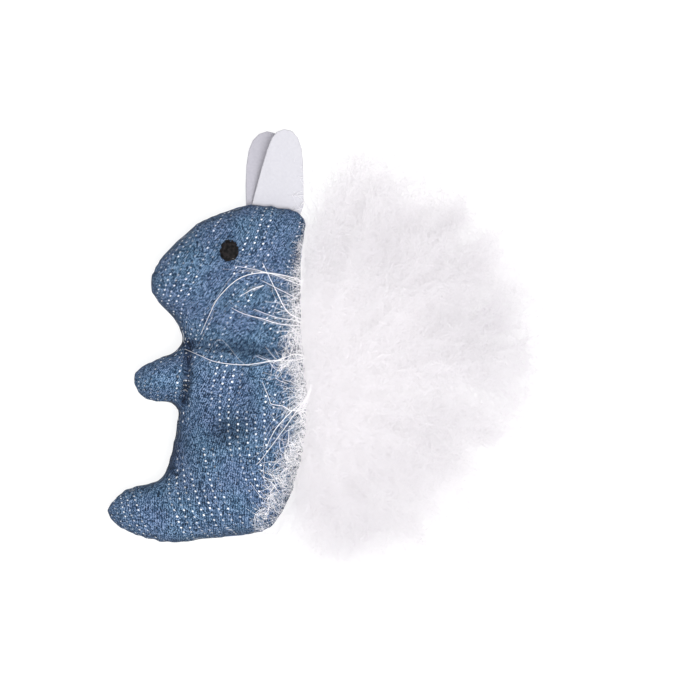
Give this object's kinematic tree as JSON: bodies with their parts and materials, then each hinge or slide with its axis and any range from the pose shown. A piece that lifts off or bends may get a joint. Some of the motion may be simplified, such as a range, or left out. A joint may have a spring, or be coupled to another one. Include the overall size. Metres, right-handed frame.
{
  "type": "squirrel cat toy",
  "caption": "Stuffed squirrel-shaped cat toy in blue knit cloth, with white felt ears, stitched dark eyes and a wide tail of fluffy white down.",
  "frame": {"origin": "on the surface that the toy lies on, under the middle of its bounding box", "axes": "+Z from the far side, which the toy lies on, to the near side; +Y to the top of the head; +X to the back and the tail"},
  "size_m": [0.107, 0.1102, 0.0217],
  "materials": {
    "knit": "heathered blue knit with rows of fine silver points",
    "fibre": "loose white polyester fibre",
    "felt": "soft white felt with a faint nap",
    "stitching": "dark embroidery thread in a raised knot",
    "thread": "fine blue sewing thread",
    "tape": "plain woven cotton tape",
    "down": "airy white marabou down on thin quills"
  },
  "bodies": {
    "toy": {"near_panel": "knit", "far_panel": "knit", "torso_filling": "fibre", "head_filling": "fibre", "arm_filling": "fibre", "foot_filling": "fibre", "seam_thread": "thread", "near_eye": "stitching", "far_eye": "stitching", "tail_tape": "tape"},
    "near_ear": {"near_ear": "felt"},
    "far_ear": {"far_ear": "felt"},
    "plume_1": {"plume_1": "down"},
    "plume_2": {"plume_2": "down"},
    "plume_3": {"plume_3": "down"},
    "plume_4": {"plume_4": "down"},
    "plume_5": {"plume_5": "down"},
    "plume_6": {"plume_6": "down"}
  },
  "joints": [
    {"name": "near_ear_fold", "type": "hinge", "parent": "toy", "child": "near_ear", "pos_m": [-0.01134, 0.03585, 0.01015], "axis": [0.9877, -0.1564, 0], "range_deg": [-5, 75], "stiffness_Nm_per_rad": 0.0002},
    {"name": "far_ear_fold", "type": "hinge", "parent": "toy", "child": "far_ear", "pos_m": [-0.01302, 0.03611, 0.00885], "axis": [0.9877, -0.1564, 0], "range_deg": [-75, 5], "stiffness_Nm_per_rad": 0.0002},
    {"name": "plume_1_flop", "type": "hinge", "parent": "toy", "child": "plume_1", "pos_m": [-0.00532, -0.00543, 0.0095], "axis": [0, 1, 0], "range_deg": [-40, 40], "stiffness_Nm_per_rad": 0.0015},
    {"name": "plume_2_flop", "type": "hinge", "parent": "toy", "child": "plume_2", "pos_m": [-0.00532, -0.00783, 0.0095], "axis": [0, 1, 0], "range_deg": [-40, 40], "stiffness_Nm_per_rad": 0.0015},
    {"name": "plume_3_flop", "type": "hinge", "parent": "toy", "child": "plume_3", "pos_m": [-0.00532, -0.01023, 0.0095], "axis": [0, 1, 0], "range_deg": [-40, 40], "stiffness_Nm_per_rad": 0.0015},
    {"name": "plume_4_flop", "type": "hinge", "parent": "toy", "child": "plume_4", "pos_m": [-0.00532, -0.01264, 0.0095], "axis": [0, 1, 0], "range_deg": [-40, 40], "stiffness_Nm_per_rad": 0.0015},
    {"name": "plume_5_flop", "type": "hinge", "parent": "toy", "child": "plume_5", "pos_m": [-0.00532, -0.01503, 0.0095], "axis": [0, 1, 0], "range_deg": [-40, 40], "stiffness_Nm_per_rad": 0.0015},
    {"name": "plume_6_flop", "type": "hinge", "parent": "toy", "child": "plume_6", "pos_m": [-0.00532, -0.01743, 0.0095], "axis": [0, 1, 0], "range_deg": [-40, 40], "stiffness_Nm_per_rad": 0.0015}
  ]
}
